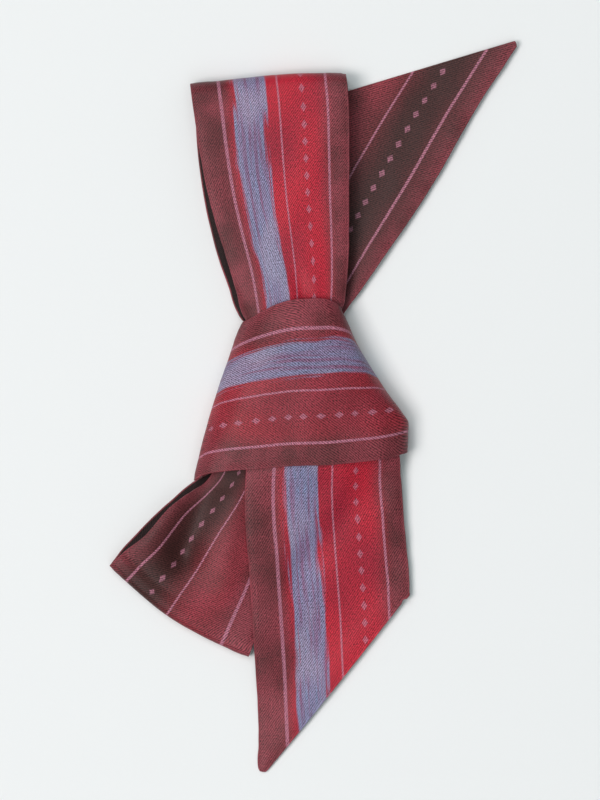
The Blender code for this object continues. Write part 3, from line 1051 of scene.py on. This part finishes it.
@dataclass
class Stretch:
    """A stretch of the strip that shows: a thin shell with turned edges."""

    node: str
    sections: tuple[Section, ...]
    creases: tuple[Crease, ...]
    held: Held
    slot: str
    start: float  # v at its first section, in mm
    length: float  # of the cut, in mm
    rib_degrees: float
    inks: Inks
    phase: float  # shifts the waves, so that no two stretches have the same
    closed: bool = False
    area: float | None = None  # of the cut, in square mm, where it isn't a rectangle
    rests_on: tuple[str, ...] = ()

    EDGE_HIGHLIGHT: ClassVar[float] = 1.2  # painted highlight: how much lighter than the cloth the turned edge is painted
    EDGE_RELIEF: ClassVar[float] = 0.35

    def lift(self, cloth: Cloth) -> Array:
        """How far creases and waves move each point out of the smooth face.

        Args:
            cloth: The smooth face.

        Returns:
            The height at each point, in mm.
        """
        points, places = cloth
        facing = face_normals(points, self.closed)[..., 2]
        heights = np.zeros(points.shape[:2])
        for crease in self.creases:
            shown = np.clip(facing * crease.side.value, 0, 1)
            heights += crease.heights(points[..., :2]) * shown
        u, v = places[..., 0], places[..., 1]
        for wave in SLOW_WAVES:
            swing = math.tau * u / wave.across + self.phase
            heights += wave.height * np.sin(math.tau * v / wave.along + wave.phase + np.sin(swing))
        rim = np.exp(-(STRIP_WIDTH / 2 - np.abs(u)) / RIM_REACH)
        for wave in EDGE_WAVES:
            turn = math.tau * v / wave.along + wave.phase + self.phase + np.sign(u)
            heights += wave.height * rim * np.sin(turn + math.tau * u / wave.across)
        return heights

    def face(self) -> Cloth:
        """The outer face, with its creases.

        Returns:
            Its points and their places.
        """
        rows = smooth_rows(self.sections, self.closed)
        edge_a, edge_b = rows[:, None, 0:3], rows[:, None, 3:6]
        crown, peak, curl, bow, corner = (rows[:, k, None] for k in range(6, 11))
        inward = unit(edge_b - edge_a) * ROLL_RADIUS
        edge_a, edge_b = edge_a + inward, edge_b - inward
        even = np.linspace(0, 1, COLUMNS + 1)[None, :]
        across = even - EDGE_CROWDING * np.sin(math.tau * even) / math.tau
        bent = (1 - np.cos(np.pi * across)) / 2
        spread = across + (bent - across) * curl
        across = np.clip(across, 0, 1)
        swell = np.sin(np.pi * across ** (np.log(0.5) / np.log(peak)))
        swell += (soft_corner(across, peak) - swell) * corner
        chord = edge_b - edge_a
        outward = unit(np.cross(chord, slope_along((edge_a + edge_b) / 2, self.closed)))
        level = np.zeros(chord.shape[:2])
        forward = unit(np.stack([-chord[..., 1], chord[..., 0], level], axis=-1))
        points = edge_a + chord * spread[..., None]
        points = points + outward * (crown * swell)[..., None] + forward * (bow * swell)[..., None]
        smooth = Cloth(points, self.straight_places(points))
        points = points + face_normals(points, self.closed) * self.lift(smooth)[..., None]
        return Cloth(points, smooth.places)

    def straight_places(self, points: Array) -> Array:
        """The points' places on the flat strip."""
        return flat_places(points, self.start, self.closed)

    def edge_distance(self, places: Array) -> Array:
        """How far each place is from the nearest turned edge, in mm."""
        return STRIP_WIDTH / 2 - np.abs(places[..., 0])

    def shell(self, cloth: Cloth) -> tuple[Array, Array]:
        """The outer and inner points of the shell, kept off the floor.

        Args:
            cloth: The outer face.

        Returns:
            Outer points and inner points.
        """
        normals = face_normals(cloth.points, self.closed)
        depth = self.edge_distance(cloth.places)
        closing = EDGE_DROP * np.exp(-((depth / EDGE_REACH) ** 2))
        seam = SEAM_RISE / (1 + np.exp((depth - SEAM_DEPTH) / SEAM_SOFTNESS))
        outer = cloth.points + normals * (seam - closing)[..., None]
        inner = cloth.points - normals * (SHELL - closing)[..., None]
        sunk = np.minimum(np.minimum(outer[..., 2], inner[..., 2]) - FLOOR_GAP, 0)
        outer[..., 2] -= sunk
        inner[..., 2] -= sunk
        return outer, inner

    def cloth_mesh(self, cloth: Cloth) -> Mesh:
        """The shell as a closed mesh, with the flat strip as its UV map.

        Args:
            cloth: The outer face.

        Returns:
            The mesh; slot 0 is the outer face and slot 1 the reverse.
        """
        outer, inner = self.shell(cloth)
        rings, columns = outer.shape[:2]
        under = rings * columns  # from a point's number to that of the one under it
        index = np.arange(under).reshape(rings, columns)
        if self.closed:
            index = np.vstack([index, index[:1]])
        corners = (index[:-1, :-1], index[:-1, 1:], index[1:, 1:], index[1:, :-1])
        quads = np.stack(corners, axis=-1).reshape(-1, 4)
        rims = [(index[:, 0], 1), (index[:, -1], -1)]
        if not self.closed:
            rims += [(index[0], -1), (index[-1], 1)]
        walls = [
            np.stack([rim[:-1], rim[1:], rim[1:] + under, rim[:-1] + under], axis=-1)[:, ::turn]
            for rim, turn in rims
        ]
        faces = np.vstack([quads, (quads + under)[:, ::-1], *walls])
        slots = np.zeros(len(faces), dtype=np.int32)
        slots[len(quads) : 2 * len(quads)] = 1
        points = np.vstack([outer.reshape(-1, 3), inner.reshape(-1, 3)]) * MM
        mesh = bpy.data.meshes.new(f"{self.node}_cloth")
        mesh.from_pydata(points.tolist(), [], faces.tolist())
        mesh.polygons.foreach_set("material_index", slots)
        numbers = np.empty(len(mesh.loops), dtype=np.int32)
        mesh.loops.foreach_get("vertex_index", numbers)
        spots = np.tile(cloth.places.reshape(-1, 2), (2, 1))[numbers].reshape(-1, 4, 2)
        if self.closed:  # the last quads lead on along the strip instead of back to its start
            middle, along = cloth.points[:, columns // 2], spots[..., 1]
            last = np.linalg.norm(middle[-1] - middle[0])
            whole = np.ptp(cloth.places[:, columns // 2, 1]) + last
            along += whole * (along.max(axis=1, keepdims=True) - along > whole / 2)
        layer = mesh.uv_layers.new(name="cloth")
        layer.data.foreach_set("uv", spots.ravel() * MM)
        mesh.shade_smooth()
        mesh.set_sharp_from_angle(angle=math.radians(SHARP_DEGREES))
        return mesh

    def middle(self, cloth: Cloth) -> Array:
        """Points half way through the shell, high enough for a turned edge to lie on the floor.

        Args:
            cloth: The outer face.

        Returns:
            The points.
        """
        outer, inner = self.shell(cloth)
        middle = (outer + inner) / 2
        middle[..., 2] = np.maximum(middle[..., 2], ROLL_RADIUS)
        return middle

    def edge_paths(self, cloth: Cloth) -> list[Cloth]:
        """The two paths of the turned edges, along the middle of the shell's rim."""
        middle = self.middle(cloth)
        return [Cloth(middle[:, column], cloth.places[:, column]) for column in (0, -1)]

    def build(self) -> Object:
        """Returns:
            The cloth piece.
        """
        cloth = self.face()
        piece = new_object(f"{self.node}_cloth", self.cloth_mesh(cloth))
        looks = (self.rib_degrees, self.inks)
        silk = SilkTwill(f"{self.node}_silk", *looks)
        # the reverse is painted near black: the dark silk with painted shade of the loops' hollows
        reverse = SilkReverseAndShade(f"{self.node}_reverse", *looks)
        # the turned edge gets a lighter colour, a painted highlight along its roll
        hem = SilkTwill(f"{self.node}_edge_silk", *looks, self.EDGE_HIGHLIGHT, self.EDGE_RELIEF)
        for finish in (silk, reverse):
            piece.data.materials.append(finish.material())
        paths = self.edge_paths(cloth)
        edge = TurnedEdge().build(f"{self.node}_turned_edge", paths, self.closed, hem.material())
        for made in (piece, edge):
            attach(made, "root")
            LOG.info("%s: %d faces", made.name, len(made.data.polygons))
        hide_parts(self.node)
        return piece


@dataclass
class SlantEnd(Stretch):
    """An end of the scarf, whose turned edge also goes round the slanting cut."""

    cut_row: int = 0  # the row that lies along the cut: 0 or -1

    def straight_places(self, points: Array) -> Array:
        """Places on the flat strip, which near the cut follow from where the points lie.

        Args:
            points: The face's points.

        Returns:
            (u, v) in mm for each point.
        """
        places = super().straight_places(points)
        middle = places[:, places.shape[1] // 2, 1]
        away = np.abs(middle - middle[self.cut_row])
        known = (away > CUT_REACH) & (away < 2 * CUT_REACH)
        flat = np.concatenate([points[..., :2], np.ones(points.shape[:2] + (1,))], axis=-1)
        given, wanted = flat[known].reshape(-1, 3), places[known].reshape(-1, 2)
        fit = np.linalg.lstsq(given, wanted, rcond=None)[0]
        share = np.clip(2 - away / CUT_REACH, 0, 1)[:, None, None]
        return places + (flat @ fit - places) * share

    def edge_distance(self, places: Array) -> Array:
        """How far each place is from the nearest turned edge or from the cut, in mm.

        Args:
            places: (u, v) of each point.

        Returns:
            The distances.
        """
        cut = places[self.cut_row]
        run = cut[-1] - cut[0]
        away = (places - cut[0]) @ np.array((-run[1], run[0])) / np.linalg.norm(run)
        return np.minimum(super().edge_distance(places), np.abs(away))

    def edge_paths(self, cloth: Cloth) -> list[Cloth]:
        """One path, down edge a, along the cut and back up edge b.

        Args:
            cloth: The outer face.

        Returns:
            The one path.
        """
        middle = self.middle(cloth)
        order = slice(None, None, -1) if self.cut_row == 0 else slice(None)
        parts = [
            (rows[order, 0], rows[self.cut_row, 1:-1], rows[order, -1][::-1])
            for rows in (middle, cloth.places)
        ]
        return [Cloth(*(np.vstack(part) for part in parts))]


@dataclass
class KnotCore:
    """The layers hidden inside the knot: flat pads of folded silk on each other."""

    node: str = "knot_core"
    layers: int = 6
    lowest: float = 2.3
    pitch: float = 1.64
    thick: float = 1.36
    top_y: float = 20.5
    bottom_y: float = -8.6
    top_x: tuple[float, float] = (-15.0, 3.5)  # before the pad is centred on x = 0
    bottom_x: tuple[float, float] = (-28.0, 21.2)
    narrowing: float = 0.40  # how much narrower the outermost layers are
    side_points: int = 12
    rings: int = 7  # of points, round its edge from below to above
    sharp_degrees: float = 50.0

    def pad(self) -> Mesh:
        """One layer: a plate with round edges, centred on its own origin across.

        Returns:
            The plate's mesh.
        """
        xs = (*self.bottom_x, *self.top_x[::-1])
        ys = (self.bottom_y, self.bottom_y, self.top_y, self.top_y)
        corners = np.stack([xs, ys], axis=-1)[:, None]
        steps = np.arange(self.side_points)[None, :, None] / self.side_points
        outline = corners + (np.roll(corners, -1, axis=0) - corners) * steps
        outline = outline.reshape(-1, 2)
        middle_y = (self.top_y + self.bottom_y) / 2
        spread = outline - (outline[:, 0].mean(), middle_y)
        reach = np.linalg.norm(spread, axis=1, keepdims=True)
        count = len(outline)
        points = np.empty((self.rings, count, 3))
        for ring, turn in zip(points, np.linspace(-math.pi / 2, math.pi / 2, self.rings)):
            inset = self.thick / 2 * (1 - math.cos(turn))
            ring[:, :2] = spread * (1 - inset / reach) + (0, middle_y)
            ring[:, 2] = self.thick / 2 * math.sin(turn)
        index = np.arange(self.rings * count).reshape(self.rings, count)
        after = np.roll(index, -1, axis=1)
        walls = np.stack([index[:-1], after[:-1], after[1:], index[1:]], axis=-1).reshape(-1, 4)
        mesh = bpy.data.meshes.new("pad")
        faces = [*walls.tolist(), index[0, ::-1].tolist(), index[-1].tolist()]
        mesh.from_pydata((points.reshape(-1, 3) * MM).tolist(), [], faces)
        mesh.shade_smooth()
        mesh.set_sharp_from_angle(angle=math.radians(self.sharp_degrees))
        return mesh

    def build(self) -> Object:
        """Stacks the pads in Geometry Nodes, the outermost ones narrower, and dresses them.

        Returns:
            The finished piece, a plain mesh.
        """
        sizes = {
            "Layers": self.layers,
            "Lowest": (self.lowest + self.thick / 2) * MM,
            "Pitch": self.pitch * MM,
            "Narrowing": self.narrowing,
        }
        tree = ShapeTree("stacked_layers", sizes)
        given = tree.given
        first, step = (
            tree.flow("ShaderNodeCombineXYZ", {"Z": given[key]}) for key in ("Lowest", "Pitch")
        )
        inputs = {"Count": given["Layers"], "Start Location": first, "Offset": step}
        line = tree.flow("GeometryNodeMeshLine", inputs)
        highest = tree.math("SUBTRACT", given["Layers"], 1.0)
        level = tree.math("DIVIDE", tree.flow("GeometryNodeInputIndex", {}), highest)
        away = tree.math("ABSOLUTE", tree.times(level, 2.0, -1.0))
        loss = tree.times(tree.math("POWER", away, 2.0), given["Narrowing"])
        inputs = {"X": tree.math("SUBTRACT", 1.0, loss), "Y": 1.0, "Z": 1.0}
        size = tree.flow("ShaderNodeCombineXYZ", inputs)
        inputs = {"Points": line, "Instance": given["Mesh"], "Scale": size}
        stack = tree.flow("GeometryNodeInstanceOnPoints", inputs)
        piece = tree.piece(f"{self.node}_layers", self.pad(), stack, CoreSilk().material())
        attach(piece, "root")
        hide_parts(self.node)
        LOG.info("%s: %d faces", piece.name, len(piece.data.polygons))
        return piece


@dataclass
class Studio:
    """The pale sheet, the soft lights and the camera straight above."""

    picture_height: int = 800  # in pixels
    pixel: float = 0.3125  # mm of the floor for each pixel
    aim: tuple[float, float] = (-4.4, 2.2)  # the picture's centre on the floor, in mm
    camera_height: float = 1600.0  # in mm
    sensor: float = 36.0  # in mm
    clip: tuple[float, float] = (0.05, 20.0)  # in metres
    floor_size: float = 3000.0  # in mm
    room_light: float = 0.23
    room_colour: Colour = (0.80, 0.985, 1.0, 1.0)
    softboxes: tuple[Softbox, ...] = (
        Softbox("side_softbox", (-1560.0, -390.0, 2700.0), 1430.0, 62.0, (1.0, 0.944, 0.930)),
        Softbox("top_softbox", (-600.0, 1150.0, 2300.0), 1200.0, 17.5),
        Softbox("fill_softbox", (600.0, -100.0, 2600.0), 1200.0, 4.0),
        Softbox("near_softbox", (200.0, -1300.0, 2200.0), 1200.0, 6.5),
    )

    def floor(self) -> None:
        """The pale sheet under the scarf."""
        half = self.floor_size / 2 * MM
        corners = [(x * half, y * half, 0.0) for x, y in ((-1, -1), (1, -1), (1, 1), (-1, 1))]
        mesh = bpy.data.meshes.new("pale_sheet")
        mesh.from_pydata(corners, [], [(0, 1, 2, 3)])
        mesh.materials.append(PalePaper().material())
        new_object("pale_sheet", mesh)

    def lights(self) -> None:
        """A main soft light on the left, weaker ones round the scarf, and an even pale room."""
        for box in self.softboxes:
            lamp = bpy.data.lights.new(box.name, "AREA")
            lamp.size = box.size * MM
            lamp.energy = box.power
            lamp.color = box.colour
            light = new_object(box.name, lamp)
            light.location = [value * MM for value in box.place]
            light.rotation_mode = "QUATERNION"
            light.rotation_quaternion = light.location.to_track_quat("Z", "Y")
        world = bpy.data.worlds.new("pale_room")
        world.use_nodes = True
        room = world.node_tree.nodes["Background"]
        room.inputs["Color"].default_value = self.room_colour
        room.inputs["Strength"].default_value = self.room_light
        bpy.context.scene.world = world

    def camera(self) -> None:
        """The camera, looking straight down with +Y up in the picture."""
        data = bpy.data.cameras.new("overhead_camera")
        data.sensor_width = self.sensor
        data.lens = self.sensor * self.camera_height / (self.picture_height * self.pixel)
        data.clip_start, data.clip_end = self.clip
        data.dof.use_dof = False
        camera = new_object("overhead_camera", data)
        camera.location = (self.aim[0] * MM, self.aim[1] * MM, self.camera_height * MM)
        bpy.context.scene.camera = camera

    def build(self) -> None:
        """Sets the whole studio up."""
        self.floor()
        self.lights()
        self.camera()
        bpy.context.scene.view_settings.view_transform = "Standard"
        LOG.info("studio: floor, %d softboxes, room light and camera", len(self.softboxes))


def stretches() -> tuple[Stretch, ...]:
    """The five stretches that show, in order along the strip.

    Returns:
        The stretches, ready to build.
    """
    loop_upper = folded(UPPER_FRONT, UPPER_FOLD, UPPER_BACK)
    loop_lower = folded(LOWER_FRONT, LOWER_FOLD, LOWER_BACK)
    return (
        SlantEnd(
            "tail_lower", LOWER_END, LOWER_END_CREASES, Held.LAID, "silk_crimson",
            start=0.0, length=105.0, rib_degrees=37.0, inks=Inks(), phase=0.4,
            area=3900.0, rests_on=("loop_lower_cloth",), cut_row=0,
        ),
        Stretch(
            "loop_upper", loop_upper, UPPER_CREASES, Held.FOLDED, "silk_crimson",
            start=110.0, length=170.0, rib_degrees=41.0, inks=Inks(), phase=1.7,
            rests_on=("tail_upper_cloth",),
        ),
        Stretch(
            "knot_band", BAND, BAND_CREASES, Held.FOLDED, "silk_maroon",
            start=266.87, length=116.5, rib_degrees=40.0, phase=2.9, closed=True,
            inks=Inks(red=0.46, slate=0.85, dark=0.15, dark_middle=20.0),
        ),
        Stretch(
            "loop_lower", loop_lower, LOWER_CREASES, Held.FOLDED, "silk_maroon",
            start=430.0, length=129.0, rib_degrees=37.0, phase=4.1,
            # its dark brown along u = 12.5 is painted shade of the trough as well as print
            inks=Inks(red=0.25, slate=0.0, dark=1.0, dark_middle=12.5),
        ),
        SlantEnd(
            "tail_upper", UPPER_END, UPPER_END_CREASES, Held.LAID, "silk_dark_brown",
            start=590.0, length=110.0, rib_degrees=40.0, phase=5.3, area=4300.0, cut_row=-1,
            inks=Inks(red=0.20, slate=0.0, dark=1.0, dark_middle=11.0),
        ),
    )


def main() -> None:
    """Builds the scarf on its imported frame, stretch by stretch, and the studio round it."""
    logging.basicConfig(level=logging.INFO, format="%(name)s: %(message)s")
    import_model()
    for stretch in stretches():
        stretch.build()
    KnotCore().build()
    Studio().build()


if __name__ == "__main__":
    main()
